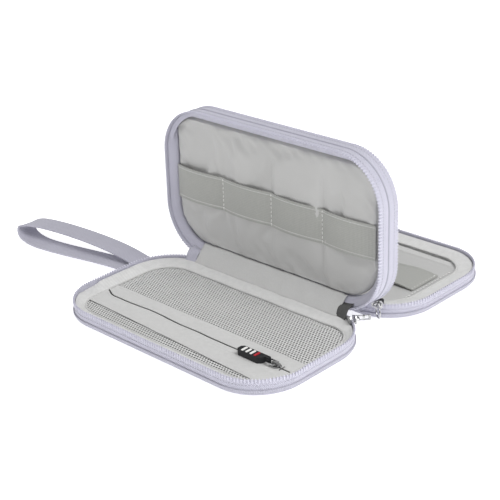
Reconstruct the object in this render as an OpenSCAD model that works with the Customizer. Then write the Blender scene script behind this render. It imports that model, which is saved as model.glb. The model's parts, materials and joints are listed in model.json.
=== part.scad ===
// Two-compartment travel pouch for cables, opened flat: a front shell and a back shell
// lie on the table, and a padded divider stands up between them on two fabric hinges.
// Millimetres. Origin: centre of the front shell's underside. +X along the hinges, +Z up.

/* [Case] */
// Length of all three panels, along the hinges
case_l = 180; // [164:1:200]
// Depth of each panel, from its hinge to the opposite edge
case_w = 98; // [92:1:110]
// Outside corner radius of the panels
corner_r = 32; // [28:1:36]
// Height of the front shell, from the table to its rim
shell_h = 11; // [11:0.5:14]
// Distance between the divider's two rims
divider_t = 18; // [18:0.5:24]
// Backward lean of the standing divider, in degrees
lean = 2; // [0:0.5:3]

/* [Fabric] */
// Rounding of the shells' bottom edge
edge_r = 2.4; // [1.5:0.1:3]
// Thickness of the outer cover
cover_t = 1; // [0.8:0.1:1.2]
// Thickness of the foam board in each shell
board_t = 1.5; // [1:0.1:2]
// Thickness of the inner lining
lining_t = 0.5; // [0.4:0.1:0.6]
// Width of the sloping band between a shell's rim and its inner panel
band_w = 12.5; // [10:0.5:14]
// Height of the mesh pocket's face above the table
mesh_z = 6; // [6:0.1:6.6]

/* [Zips] */
// Thickness of the zip tape
tape_t = 0.6; // [0.5:0.1:0.6]
// Height of the row of teeth
teeth_h = 2.9; // [2.4:0.1:2.9]
// Gap left between a row of teeth and the rim plane
teeth_gap = 0.7; // [0.7:0.1:0.9]
// Where the teeth end on the hinge-side corners, in degrees round the corner
teeth_end = 80; // [76:1:82]
// Where the front shell's slider is parked, in degrees round the hinge-side corner
slider_at = 60; // [54:1:62]
// Where the back shell's slider is parked
back_slider_at = 64; // [56:1:66]
// Length of an outer slider
slider_l = 8; // [7.6:0.1:9]

/* [Mesh pocket] */
// Place of the pocket zip, measured forwards from the middle of the front shell
pocket_zip_y = 18.5; // [14:0.5:20]
// Width of the pocket's zip tape, both halves
pocket_tape_w = 29; // [26:1:30]
// Width of the slot between the two halves
pocket_slot = 1.4; // [1.4:0.1:1.8]
// Length of the rubber pull
pull_l = 22; // [18:1:24]
// Width of the rubber pull
pull_w = 6; // [5:0.5:7]

/* [Divider] */
// Width of the elastic band across the divider
elastic_w = 22; // [16:1:24]
// Height of the band's middle above the hinge
elastic_v = 46.5; // [44:0.5:52]
// Distance between the rows of stitches that divide the band
cell_pitch = 41.5; // [36:0.5:42]

/* [Wrist strap] */
// Width of the strap
strap_w = 15; // [12:1:18]
// Thickness of the strap
strap_t = 1.3; // [1:0.1:1.3]

/* [Hidden] */

$fn = 64;
lavender = [0.77, 0.76, 0.83];
tape_lavender = [0.80, 0.79, 0.87];
light_grey = [0.74, 0.74, 0.73];
satin_grey = [0.68, 0.68, 0.67];
silver = [0.85, 0.85, 0.84];

// Corner arcs turn about (+-arc_x, +-arc_y) in every panel's own frame
arc_x = case_l / 2 - corner_r;
arc_y = case_w / 2 - corner_r;
// The divider's lean lets the back hinge drop, so the back shell is a little lower
back_h = shell_h - divider_t * sin(lean);
back_y = case_w + divider_t * cos(lean);
floor_z = cover_t + board_t + lining_t;
tape_out = corner_r - 0.4;
tape_in = tape_out - tape_t;
tape_end = teeth_end + 4;
// Measured down from a rim: the tape's upper edge, the side band and the cover's wall
tape_drop = 1.4;
band_drop = 4;
wall_drop = 6.8;
// How far the teeth stand out past the cover
teeth_out = 0.4;
// Half the length of the fabric strips along the hinges, and their gap to the hinge
hinge_half = arc_x + 2.5;
strip_gap = 0.6;
strip_t = 0.8;
// Divider: its padded faces stand in from the outline, on both sides of a board
panel_inset = 7;
face_t = 1.4;
core_t = 1.2;
// Pocket slider parked against its stop at the right-hand end of its zip
pocket_slider_x = arc_x + 14.6;
stop_t = 0.8;
pocket_plate_t = 0.8;
pull_pivot_z = mesh_z + 2.3;
// Wire ring of the pull, as far as the hole through the rubber tab, and the tab's thickness
ring_wire = 0.55;
ring_reach = 6.4;
tab_t = 3.8;
tab_drop = 1.3;
tab_side = 2;
// Pockets in the back shell, as distances from the back hinge, and the thickness of their cloth
pocket_t = 0.6;
slip_mouth = 86;
satin_mouth = 79;
elastic_near = 36;
elastic_far = 62;
// Elastic bands and their stitches
band_t = 1.1;
back_band_t = 1;
stitch_dash = 2;
stitch_w = 0.6;
stitch_h = 0.3;
// Outer sliders: plates, and the pulls' holes as distances out from the case
plate_t = 0.8;
front_hole_y = 2.9;
back_hole_y = 3.2;
front_pull_angle = 78;
front_pull_l = 9;
front_pull_w = 3.6;
front_pull_t = 0.9;
ring_r = 4.1;
ring_tilt = 35;
ring_turn = -30;

// Middle line of the strap, from its upper end at the case round the loop to its lower end
strap_line = [
    [-91.8, 26.5, 6.6], [-98, 26.5, 7.6], [-108, 26.5, 8.9], [-120, 26.4, 9.8],
    [-134, 26, 10.3], [-148, 25.2, 10.6], [-162, 24, 10.8], [-176, 22.2, 10.9],
    [-188, 20, 10.8], [-196, 18.2, 10.2], [-201.5, 16.8, 8.6], [-203.5, 15.8, 6.2],
    [-202.5, 14.8, 3.7], [-199, 13.6, 1.9], [-192, 12.2, 1.1], [-182, 11.4, 1],
    [-170, 12.4, 1], [-156, 14.6, 1.1], [-142, 16.8, 1.5], [-128, 18.2, 2.4],
    [-114, 18.8, 3.5], [-102, 19, 4.4], [-91.8, 19, 4.9]
];

// ---- Shapes shared by the panels ----

// Panel outline, inset by d
module outline(d = 0) {
    r = corner_r - d;
    square([2 * arc_x, 2 * (arc_y + r)], center = true);
    square([2 * (arc_x + r), 2 * arc_y], center = true);
    for (sx = [-1, 1])
        for (sy = [-1, 1])
            translate([sx * arc_x, sy * arc_y])
                circle(r = r);
}

module slab(d, z0, z1) {
    translate([0, 0, z0])
        linear_extrude(height = z1 - z0)
            outline(d);
}

// Sweeps a profile (x = distance from the corner's centre, y = height) along one corner
module corner_run(sx, sy, a0, a1) {
    translate([sx * arc_x, sy * arc_y, 0])
        rotate([0, 0, a0])
            rotate_extrude(angle = a1 - a0)
                children();
}

// Sweeps the same profile along one straight side that faces the direction a
module side_run(a, off, len) {
    rotate([0, 0, a])
        translate([off, 0, 0])
            rotate([90, 0, 0])
                linear_extrude(height = len, center = true)
                    children();
}

// Round three sides and part of the two hinge-side corners. The hinge side faces +Y
module rim_run(end_deg) {
    for (m = [0, 1])
        mirror([m, 0, 0])
            corner_run(1, 1, 0, end_deg)
                children();
    corner_run(-1, -1, 180, 270)
        children();
    corner_run(1, -1, 270, 360)
        children();
    side_run(0, arc_x, 2 * arc_y)
        children();
    side_run(180, arc_x, 2 * arc_y)
        children();
    side_run(270, arc_y, 2 * arc_x)
        children();
}

// All the way round
module ring_run() {
    rim_run(90)
        children();
    side_run(90, arc_y, 2 * arc_x)
        children();
}

// Front shell: modelled in place. Back shell: mirrored about its hinge and moved back
module at_back() {
    translate([0, back_y, 0])
        mirror([0, 1, 0])
            children();
}

// Divider: modelled lying down, hinge side at -Y, front rim at z = 0, then stood up
module at_divider() {
    translate([0, case_w / 2, shell_h])
        rotate([90 - lean, 0, 0])
            translate([0, case_w / 2, 0])
                mirror([0, 1, 0])
                    children();
}

// ---- Shells ----

module shell_cover(h) {
    wall_top = h - wall_drop;
    color(lavender)
        union() {
            slab(edge_r, 0, cover_t);
            ring_run()
                polygon(concat(
                    [for (a = [270:15:360])
                        [corner_r - edge_r + edge_r * cos(a), edge_r + edge_r * sin(a)]],
                    [[corner_r, wall_top], [corner_r - cover_t, wall_top], [corner_r - cover_t, edge_r],
                     [corner_r - edge_r, cover_t]]
                ));
            // The hinge side has no zip, so the cover goes on up to the hinge
            translate([-hinge_half, case_w / 2 - cover_t, wall_top])
                cube([2 * hinge_half, cover_t, h - strip_gap - wall_top]);
        }
}

module shell_board() {
    color("dimgray")
        slab(edge_r, cover_t, cover_t + board_t);
}

module shell_lining() {
    color(light_grey)
        slab(edge_r, cover_t + board_t, floor_z);
}

module shell_side_band(h) {
    top = h - band_drop;
    color(light_grey)
        ring_run()
            polygon([
                [tape_in, floor_z], [tape_in, top], [tape_in - 1.4, top + 0.1],
                [corner_r - band_w, mesh_z - 0.5], [corner_r - band_w, floor_z]
            ]);
}

module shell_zip_tape(h) {
    color(tape_lavender)
        rim_run(tape_end)
            translate([tape_in, h - wall_drop])
                square([tape_t, wall_drop - tape_drop]);
}

// One row of teeth, its tips teeth_gap below the height h
module teeth_profile(h) {
    tip = h - teeth_gap;
    tape_edge = h - tape_drop;
    outer = corner_r + teeth_out;
    polygon([
        [tape_out, tip - teeth_h], [outer, tip - teeth_h], [outer, tip - 0.4],
        [corner_r, tip], [tape_in + 0.4, tip], [tape_in, tip - 0.4], [tape_in, tape_edge],
        [tape_out, tape_edge]
    ]);
}

module shell_zip_teeth(h) {
    color(silver)
        rim_run(teeth_end)
            teeth_profile(h);
}

// Inner lining strip that climbs from the side band to the hinge
module shell_hinge_strip(h) {
    top = h - band_drop;
    color(light_grey)
        translate([-hinge_half, 0, 0])
            rotate([90, 0, 90])
                linear_extrude(height = 2 * hinge_half)
                    polygon([
                        [case_w / 2 - cover_t, top + 0.1], [case_w / 2 - cover_t, h - strip_gap],
                        [case_w / 2 - cover_t - strip_t, h - strip_gap],
                        [case_w / 2 - cover_t - 2.4, top + 0.1]
                    ]);
}

module front_shell_cover() {
    shell_cover(shell_h);
}

module front_shell_board() {
    shell_board();
}

module front_shell_lining() {
    shell_lining();
}

module front_shell_side_band() {
    shell_side_band(shell_h);
}

module front_shell_zip_tape() {
    shell_zip_tape(shell_h);
}

module front_shell_zip_teeth() {
    shell_zip_teeth(shell_h);
}

module front_shell_hinge_strip() {
    shell_hinge_strip(shell_h);
}

module back_shell_cover() {
    translate([0, back_y, 0])
        rotate([0, 0, 180])
            shell_cover(back_h);
}

module back_shell_board() {
    at_back()
        shell_board();
}

module back_shell_lining() {
    at_back()
        shell_lining();
}

module back_shell_side_band() {
    at_back()
        shell_side_band(back_h);
}

module back_shell_zip_tape() {
    at_back()
        shell_zip_tape(back_h);
}

module back_shell_zip_teeth() {
    at_back()
        shell_zip_teeth(back_h);
}

module back_shell_hinge_strip() {
    at_back()
        shell_hinge_strip(back_h);
}

// ---- Mesh pocket in the front shell ----

// The part of the pocket's face between two distances from the shell's middle
module pocket_face(y0, y1, z0, z1) {
    intersection() {
        slab(band_w, z0, z1);
        translate([-case_l / 2, y0, z0 - 1])
            cube([case_l, y1 - y0, z1 - z0 + 2]);
    }
}

tape_rear_y = -pocket_zip_y + 12;
tape_front_y = tape_rear_y - pocket_tape_w;
face_front_y = -case_w / 2 + band_w;

module mesh_panel() {
    color("gray")
        pocket_face(tape_rear_y, case_w / 2 - band_w, mesh_z, mesh_z + lining_t);
}

module mesh_front_strip() {
    color("gray")
        pocket_face(face_front_y, tape_front_y, mesh_z, mesh_z + lining_t);
}

module pocket_tape_rear() {
    color(light_grey)
        pocket_face(-pocket_zip_y + pocket_slot / 2, tape_rear_y, mesh_z, mesh_z + lining_t);
}

module pocket_tape_front() {
    color(light_grey)
        pocket_face(tape_front_y, -pocket_zip_y - pocket_slot / 2, mesh_z, mesh_z + lining_t);
}

module pocket_coil(side) {
    half = arc_x + 14;
    coil_w = 1.6;
    coil_h = 1;
    near = side > 0 ? pocket_slot / 2 : -pocket_slot / 2 - coil_w;
    color("dimgray")
        translate([-half, -pocket_zip_y + near, mesh_z - coil_h])
            cube([2 * half, coil_w, coil_h]);
}

module pocket_coil_rear() {
    pocket_coil(1);
}

module pocket_coil_front() {
    pocket_coil(-1);
}

module pocket_zip_stop(x, z) {
    color(silver)
        translate([x, -pocket_zip_y - 2.4, z])
            cube([stop_t, 4.8, 0.7]);
}

// This one clamps the coils together under the tape
module pocket_zip_stop_left() {
    pocket_zip_stop(-arc_x - 17, mesh_z - 0.7);
}

module pocket_zip_stop_right() {
    pocket_zip_stop(pocket_slider_x + 4.1, mesh_z + lining_t);
}

// Plates above and below the tape, joined through the slot, with a bridge for the pull
module pocket_slider() {
    plate = [[-4.6, -2.2], [-3.6, -3.4], [1, -3.4], [3.6, -2], [3.6, 2], [1, 3.4], [-3.6, 3.4], [-4.6, 2.2]];
    top_z = mesh_z + lining_t + 0.3;
    color(silver)
        translate([pocket_slider_x, -pocket_zip_y, 0])
            difference() {
                union() {
                    for (z = [top_z, mesh_z - 2.1])
                        translate([0, 0, z])
                            linear_extrude(height = pocket_plate_t)
                                polygon(plate);
                    translate([-3.6, -0.4, mesh_z - 1.5])
                        cube([1.6, 0.8, lining_t + 2]);
                    translate([-2.6, -0.9, top_z + 0.7])
                        cube([5.2, 1.8, 1.8]);
                }
                // Hole that the pull's ring turns in
                translate([0, 0, pull_pivot_z])
                    rotate([90, 0, 0])
                        cylinder(h = 4, r = 0.75, center = true);
            }
}

// Wire ring through the slider's bridge
module pocket_pull_ring() {
    half = 2.4;
    color(silver)
        translate([pocket_slider_x, -pocket_zip_y, pull_pivot_z])
            for (s = [-1, 1]) {
                translate([0, s * half, 0])
                    rotate([0, -90, 0])
                        cylinder(h = ring_reach, r = ring_wire);
                for (x = [-ring_reach, 0])
                    translate([x, s * half, 0]) {
                        sphere(r = ring_wire);
                        rotate([s * 90, 0, 0])
                            cylinder(h = half, r = ring_wire);
                    }
            }
}

tab_end = pocket_slider_x - 4.6;
tab_z = pull_pivot_z - tab_drop;

// Thick rubber tab with cut corners at its free end. It lies beside the zip, and its neck
// turns in to the hole that the ring passes through
module pocket_pull_tab() {
    half = pull_w / 2;
    neck = 1.4;
    shoulder = 3.4;
    color([0.08, 0.08, 0.09])
        translate([tab_end, -pocket_zip_y, tab_z])
            difference() {
                linear_extrude(height = tab_t)
                    polygon([
                        [0, -neck], [0, neck], [-shoulder, neck], [-shoulder - 1, half - tab_side],
                        [-pull_l + 2, half - tab_side], [-pull_l, half - 2 - tab_side],
                        [-pull_l, 2 - half - tab_side], [-pull_l + 2, -half - tab_side],
                        [-shoulder - 1, -half - tab_side], [-shoulder, -half + 1 - tab_side],
                        [-shoulder, -neck]
                    ]);
                // Hole for the ring's far side
                translate([pocket_slider_x - ring_reach - tab_end, 0, tab_drop])
                    rotate([90, 0, 0])
                        cylinder(h = 4, r = ring_wire + 0.2, center = true);
            }
}

// Raised grip ribs across the tab: three white and one red
module grip_rib(i) {
    rib_l = pull_w - 1.4;
    rib_w = 1.5;
    translate([tab_end - pull_l + 3.4 + 3.3 * i, -pocket_zip_y - tab_side - rib_l / 2, tab_z + tab_t])
        cube([rib_w, rib_l, 0.3]);
}

module pocket_pull_ribs() {
    color("white")
        for (i = [0:2])
            grip_rib(i);
}

module pocket_pull_red_rib() {
    color("firebrick")
        grip_rib(3);
}

// ---- Wrist strap ----

// Tab in the left-hand seam that both ends of the strap are sewn to
module strap_root() {
    bottom = 4.3;
    height = 2.9;
    color(lavender)
        difference() {
            translate([-case_l / 2 - 1.4, 11.5, bottom])
                cube([11, 22.5, height]);
            slab(0, bottom - 1, bottom + height + 1);
        }
}

function unit(v) = v / norm(v);
function along(p, i) = unit(p[min(i + 1, len(p) - 1)] - p[max(i - 1, 0)]);
// Across the strap: level, and square to the way it runs
function across(t) = unit([-t[1] * t[0], 1 - t[1] * t[1], -t[1] * t[2]]);
function strap_ring(p, i) = let (t = along(p, i), a = across(t), n = cross(t, a))
    [for (c = [[-1, -1], [1, -1], [1, 1], [-1, 1]])
        p[i] + a * (c[0] * strap_w / 2) + n * (c[1] * strap_t / 2)];

module wrist_strap() {
    n = len(strap_line);
    color(lavender)
        polyhedron(
            points = [for (i = [0:n - 1]) each strap_ring(strap_line, i)],
            faces = concat(
                [[0, 1, 2, 3]],
                [for (i = [0:n - 2]) for (k = [0:3])
                    [4 * i + k, 4 * i + 4 + k, 4 * i + 4 + (k + 1) % 4, 4 * i + (k + 1) % 4]],
                [[4 * n - 1, 4 * n - 2, 4 * n - 3, 4 * n - 4]]
            )
        );
}

// ---- Divider ----

core_front = -(divider_t - core_t) / 2;
core_back = -(divider_t + core_t) / 2;

module divider_board() {
    color("dimgray")
        at_divider()
            slab(panel_inset, core_back, core_front);
}

module divider_front_panel() {
    color(satin_grey)
        at_divider()
            slab(panel_inset, core_front, core_front + face_t);
}

module divider_back_panel() {
    color(satin_grey)
        at_divider()
            slab(panel_inset, core_back - face_t, core_back);
}

// Sloping gusset between one rim and the padded panel
module gusset_profile() {
    polygon([
        [tape_in, core_front], [tape_in, -4], [tape_in - 1, -4],
        [corner_r - panel_inset, core_front + face_t + 0.1], [corner_r - panel_inset, core_front]
    ]);
}

module divider_gusset_front() {
    color(lavender)
        at_divider()
            ring_run()
                gusset_profile();
}

module divider_gusset_back() {
    color(lavender)
        at_divider()
            translate([0, 0, -divider_t])
                mirror([0, 0, 1])
                    ring_run()
                        gusset_profile();
}

module divider_tape() {
    rim_run(tape_end)
        translate([tape_in, core_front])
            square([tape_t, -core_front - tape_drop]);
}

module divider_zip_tape_front() {
    color(tape_lavender)
        at_divider()
            divider_tape();
}

module divider_zip_tape_back() {
    color(tape_lavender)
        at_divider()
            translate([0, 0, -divider_t])
                mirror([0, 0, 1])
                    divider_tape();
}

module divider_zip_teeth_front() {
    color(silver)
        at_divider()
            rim_run(teeth_end)
                teeth_profile(0);
}

module divider_zip_teeth_back() {
    color(silver)
        at_divider()
            translate([0, 0, -divider_t])
                mirror([0, 0, 1])
                    rim_run(teeth_end)
                        teeth_profile(0);
}

// Bound seam where the two tapes meet, half way through the divider's depth
module divider_seam() {
    color(lavender)
        at_divider()
            ring_run()
                translate([tape_in, core_back])
                    square([corner_r + 0.2 - tape_in, core_t]);
}

// Outer fabric along the hinge side, between the two hinges
module spine_panel() {
    depth = -core_front - strip_gap;
    color(lavender)
        at_divider()
            for (z = [-strip_gap - depth, -divider_t + strip_gap])
                translate([-hinge_half, case_w / 2 - cover_t, z])
                    cube([2 * hinge_half, cover_t, depth]);
}

module divider_strip() {
    translate([-hinge_half, 0, 0])
        rotate([90, 0, 90])
            linear_extrude(height = 2 * hinge_half)
                polygon([
                    [case_w / 2 - cover_t, -3.9], [case_w / 2 - cover_t, -strip_gap],
                    [case_w / 2 - cover_t - strip_t, -strip_gap],
                    [case_w / 2 - cover_t - 2 * strip_t, -3.9]
                ]);
}

module divider_hinge_strip_front() {
    color(light_grey)
        at_divider()
            divider_strip();
}

module divider_hinge_strip_back() {
    color(light_grey)
        at_divider()
            translate([0, 0, -divider_t])
                mirror([0, 0, 1])
                    divider_strip();
}

band_z = core_front + face_t;

module elastic_band() {
    color(light_grey)
        at_divider()
            translate([-case_l / 2 + 9, case_w / 2 - elastic_v - elastic_w / 2, band_z])
                cube([case_l - 16, elastic_w, band_t]);
}

// Rows of white stitches that divide the band into four loops
module elastic_stitches() {
    color("white")
        at_divider()
            for (i = [-1:1])
                for (k = [-3:3])
                    translate([i * cell_pitch + 0.2, case_w / 2 - elastic_v + 3 * k - stitch_dash / 2, 0])
                        translate([0, 0, band_z + band_t])
                            cube([stitch_w, stitch_dash, stitch_h]);
}

// ---- Pockets in the back shell. Distances are from the back hinge ----

module back_face(y0, y1, z0, z1) {
    at_back()
        pocket_face(case_w / 2 - y1, case_w / 2 - y0, z0, z1);
}

pocket_top = floor_z + 2 * pocket_t;

module rear_slip_pocket() {
    color(light_grey)
        back_face(band_w, slip_mouth, floor_z, floor_z + pocket_t);
}

module satin_pocket() {
    color(satin_grey)
        back_face(band_w, satin_mouth, floor_z + pocket_t, pocket_top);
}

module back_elastic_band() {
    color(light_grey)
        back_face(elastic_near, elastic_far, pocket_top, pocket_top + back_band_t);
}

module back_elastic_stitches() {
    color("white")
        translate([arc_x + 12.5, back_y - case_w / 2, pocket_top + back_band_t])
            for (k = [0:7])
                translate([0, elastic_near + 1 + 3 * k, 0])
                    cube([stitch_w, stitch_dash, stitch_h]);
}

// ---- Outer zip sliders, parked on the right-hand hinge-side corner ----

// Local frame: +X the way it closes, +Y out of the case, z = 0 at the rim
module at_slider(h, at) {
    translate([arc_x, arc_y, h])
        rotate([0, 0, at - 90])
            translate([0, corner_r, 0])
                children();
}

// Plates inside and outside the rim, joined by a post that parts the teeth.
// The bridge's hole is at hole_y, and the pull turns in it
module outer_slider(hole_y, hole_r, bridge_t) {
    half = slider_l / 2;
    // The tail is cut low on top, where the divider's teeth swing past it
    plate = [
        [-half, -1.8], [-half, 0.9], [1.2, 2.9], [half - 0.9, 2.9], [half, 2],
        [half, -2], [half - 0.9, -2.9], [-0.8, -2.9]
    ];
    color(silver)
        difference() {
            union() {
                for (y = [-1.7, 1.8])
                    translate([0, y, 0])
                        rotate([90, 0, 0])
                            linear_extrude(height = plate_t)
                                polygon(plate);
                translate([half - 1.8, -2, -0.35])
                    cube([1.5, 3.3, 0.7]);
                translate([-2.7, 1.7, -bridge_t / 2])
                    cube([5.4, hole_y + hole_r - 1, bridge_t]);
            }
            translate([0, hole_y, 0])
                cylinder(h = 4, r = hole_r, center = true);
        }
}

module front_zip_slider() {
    at_slider(shell_h, slider_at)
        outer_slider(front_hole_y, 0.7, 1.8);
}

module back_zip_slider() {
    at_back()
        at_slider(back_h, back_slider_at)
            outer_slider(back_hole_y, 1.05, 0.9);
}

// Flat metal pull with a window, hung on a pin through the slider's bridge
module front_zip_pull() {
    color(silver)
        at_slider(shell_h, slider_at)
            translate([0, front_hole_y, 0])
                rotate([0, 0, front_pull_angle]) {
                    cylinder(h = front_pull_w, r = front_pull_t / 2, center = true);
                    difference() {
                        translate([-0.7, -front_pull_t / 2, -front_pull_w / 2])
                            cube([front_pull_l, front_pull_t, front_pull_w]);
                        // Window that clears the bridge, and a smaller one beyond it
                        translate([-1.4, -1, -1.25])
                            cube([4.8, 2, 2.5]);
                        translate([4.6, -1, -0.7])
                            cube([2.4, 2, 1.4]);
                    }
                }
}

// Round wire pull that droops outwards, its wire passing through the bridge's hole
module back_zip_pull() {
    color(silver)
        at_back()
            at_slider(back_h, back_slider_at)
                translate([0, back_hole_y, 0])
                    rotate([0, 0, ring_turn])
                        translate([0, ring_r * cos(ring_tilt), -ring_r * sin(ring_tilt)])
                            rotate([90, 0, 90])
                                rotate_extrude()
                                    translate([ring_r, 0])
                                        circle(r = 0.42);
}

// Stitched stop at the far end of each outer zip, beside the left-hand end of the hinge
module end_stop(h) {
    color(silver)
        corner_run(-1, 1, 180 - teeth_end - 3, 180 - teeth_end - 0.2)
            translate([tape_out, h - 3.4])
                square([0.6, 2.4]);
}

module front_zip_end_stop() {
    end_stop(shell_h);
}

module back_zip_end_stop() {
    at_back()
        end_stop(back_h);
}

front_shell_cover();
front_shell_board();
front_shell_lining();
front_shell_side_band();
front_shell_zip_tape();
front_shell_zip_teeth();
front_shell_hinge_strip();
mesh_panel();
mesh_front_strip();
pocket_tape_rear();
pocket_tape_front();
pocket_coil_rear();
pocket_coil_front();
pocket_zip_stop_left();
pocket_zip_stop_right();
strap_root();
wrist_strap();
pocket_slider();
pocket_pull_ring();
pocket_pull_tab();
pocket_pull_ribs();
pocket_pull_red_rib();
divider_board();
divider_front_panel();
divider_back_panel();
divider_gusset_front();
divider_gusset_back();
divider_zip_tape_front();
divider_zip_tape_back();
divider_zip_teeth_front();
divider_zip_teeth_back();
divider_seam();
spine_panel();
divider_hinge_strip_front();
divider_hinge_strip_back();
elastic_band();
elastic_stitches();
back_shell_cover();
back_shell_board();
back_shell_lining();
back_shell_side_band();
back_shell_zip_tape();
back_shell_zip_teeth();
back_shell_hinge_strip();
rear_slip_pocket();
satin_pocket();
back_elastic_band();
back_elastic_stitches();
front_zip_slider();
front_zip_pull();
front_zip_end_stop();
back_zip_slider();
back_zip_pull();
back_zip_end_stop();
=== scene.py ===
"""The looks of the open cable pouch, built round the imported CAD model.

Inside the functions lengths are millimetres in the part's own frame, and meshes are made in metres.
A panel's own frame is the front shell's: +Y is the hinge side, z = 0 the table or, on the divider, the rim.
"""
import json
import math

import bmesh
import bpy
from mathutils import Matrix, Vector, noise

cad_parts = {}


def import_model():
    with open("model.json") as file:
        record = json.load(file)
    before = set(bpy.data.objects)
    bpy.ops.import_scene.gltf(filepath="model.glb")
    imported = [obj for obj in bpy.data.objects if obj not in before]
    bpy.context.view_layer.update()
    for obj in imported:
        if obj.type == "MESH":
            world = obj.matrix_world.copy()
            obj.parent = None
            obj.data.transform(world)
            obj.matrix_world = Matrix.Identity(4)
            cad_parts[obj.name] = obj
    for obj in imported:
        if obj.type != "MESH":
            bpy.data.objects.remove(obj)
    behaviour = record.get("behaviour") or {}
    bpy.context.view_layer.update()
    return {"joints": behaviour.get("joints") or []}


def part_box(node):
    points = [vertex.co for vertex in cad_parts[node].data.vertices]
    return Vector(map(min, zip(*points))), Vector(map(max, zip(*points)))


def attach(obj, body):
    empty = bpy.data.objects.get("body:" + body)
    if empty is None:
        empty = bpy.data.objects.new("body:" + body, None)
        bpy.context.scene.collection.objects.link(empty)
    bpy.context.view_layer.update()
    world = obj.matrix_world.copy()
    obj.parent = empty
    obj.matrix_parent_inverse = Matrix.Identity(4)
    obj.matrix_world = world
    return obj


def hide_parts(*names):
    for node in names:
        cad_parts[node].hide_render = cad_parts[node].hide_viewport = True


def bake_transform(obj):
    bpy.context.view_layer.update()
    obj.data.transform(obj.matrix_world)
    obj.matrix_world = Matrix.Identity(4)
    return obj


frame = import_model()
MM = 0.001

# ---- Sizes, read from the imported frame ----

JOINTS = {joint["name"]: joint for joint in frame["joints"]}


def joint_point(name):
    return [value / MM for value in JOINTS[name]["pos_m"]]


def box(node):
    low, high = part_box(node)
    return [value / MM for value in low], [value / MM for value in high]


COVER_LOW, COVER_HIGH = box("front_shell_cover")
CASE_L = COVER_HIGH[0] - COVER_LOW[0]
CASE_W = COVER_HIGH[1] - COVER_LOW[1]
ARC_X, ARC_Y = joint_point("front_zip_travel")[:2]
R = CASE_L / 2 - ARC_X
HINGE_Y, RIM_Z = joint_point("front_hinge")[1:]
BACK_HINGE_Y, BACK_RIM_Z = joint_point("back_hinge")[1:]
LEAN = math.atan2(RIM_Z - BACK_RIM_Z, BACK_HINGE_Y - HINGE_Y)
DIVIDER_T = math.hypot(RIM_Z - BACK_RIM_Z, BACK_HINGE_Y - HINGE_Y)
BACK_Y = BACK_HINGE_Y + CASE_W / 2
EDGE_R = 2.4  # rounding of the covers' lower edge
FLOOR_Z = 3.0  # top of the boards
WALL_DROP = 6.8  # from a rim down to the top of its cover
TAPE_DROP = 0.85  # from a rim down to the edge of its tape
TAPE_IN, TAPE_OUT = R - 1, R - 0.4
HINGE_HALF = ARC_X + 2.5
LIP_U = 19.5  # narrowest place of the side bands' inner edge
POCKET_Z = 6.25
SLOT_Y = joint_point("pocket_pull_flip")[1]
PITCH = 2.0  # of the teeth
TEETH_FROM = ARC_X + R * math.radians(10)
TAPE_FROM = ARC_X + R * math.radians(6)


# ---- Places: each turns a point of a panel's own frame into the part's frame ----

def in_front(p):
    return p


def in_back(p):
    return (p[0], BACK_Y - p[1], p[2])


def in_divider(p):
    up, deep = HINGE_Y - p[1], -p[2]
    return (
        p[0],
        HINGE_Y + deep * math.cos(LEAN) + up * math.sin(LEAN),
        RIM_Z + up * math.cos(LEAN) - deep * math.sin(LEAN),
    )


def in_divider_back(p):
    return in_divider((p[0], p[1], -DIVIDER_T - p[2]))


# ---- The outline that all the panels share, by length along it ----

QUARTER = math.pi / 2 * R
PERIMETER = 4 * (ARC_X + ARC_Y + QUARTER)
TEETH_SPAN = (TEETH_FROM, PERIMETER - TEETH_FROM)
TAPE_SPAN = (TAPE_FROM, PERIMETER - TAPE_FROM)


def outline_legs():
    """Straight and turning legs, clockwise from the middle of the hinge side."""
    legs = []
    x, y, facing = 0.0, ARC_Y, 90
    for turn, run in enumerate((ARC_X, 2 * ARC_Y, 2 * ARC_X, 2 * ARC_Y, ARC_X)):
        heading = math.radians(facing - 90)
        legs.append((run, x, y, facing, 0))
        x += run * math.cos(heading)
        y += run * math.sin(heading)
        if turn < 4:
            legs.append((QUARTER, x, y, facing, -90))
            facing -= 90
    return legs


LEGS = outline_legs()


def station(s):
    """The point at length s of the line through the corners' centres, and the outward normal there.

    The length is counted along the outer edge. Distances out from the line are called u.
    """
    s %= PERIMETER
    for length, x, y, facing, turn in LEGS:
        if s <= length:
            break
        s -= length
    if turn:
        angle = math.radians(facing + turn * s / length)
        return x, y, math.cos(angle), math.sin(angle)
    heading = math.radians(facing - 90)
    angle = math.radians(facing)
    return x + s * math.cos(heading), y + s * math.sin(heading), math.cos(angle), math.sin(angle)


def at_outline(s, u, z):
    """The point at outline length s, u out from the inner line, at height z."""
    x, y, nx, ny = station(s)
    return (x + u * nx, y + u * ny, z)


def smooth(t):
    t = min(1.0, max(0.0, t))
    return t * t * (3 - 2 * t)


def ripple(x, y, size, layer=0.0):
    return noise.noise(Vector((x / size, y / size, layer)))


def spread(low, high, step):
    count = max(1, round((high - low) / step))
    return [low + (high - low) * i / count for i in range(count + 1)]


def turns(count, first=0.0):
    """Angles once round a circle, the first of them that share of a step on."""
    return [2 * math.pi * (k + first) / count for k in range(count)]


def edged(low, high, steps, fine=(0, 0.35, 0.8, 1.4, 2.4, 4)):
    """Stops from low to high, close together near both ends, with evenly spaced steps between."""
    middle = [low + fine[-1] + (high - low - 2 * fine[-1]) * i / steps for i in range(1, steps)]
    return [low + f for f in fine] + middle + [high - f for f in reversed(fine)]


# ---- Mesh building ----

def new_object(name, data):
    made = bpy.data.objects.new(name, data)
    bpy.context.scene.collection.objects.link(made)
    return made


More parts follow.
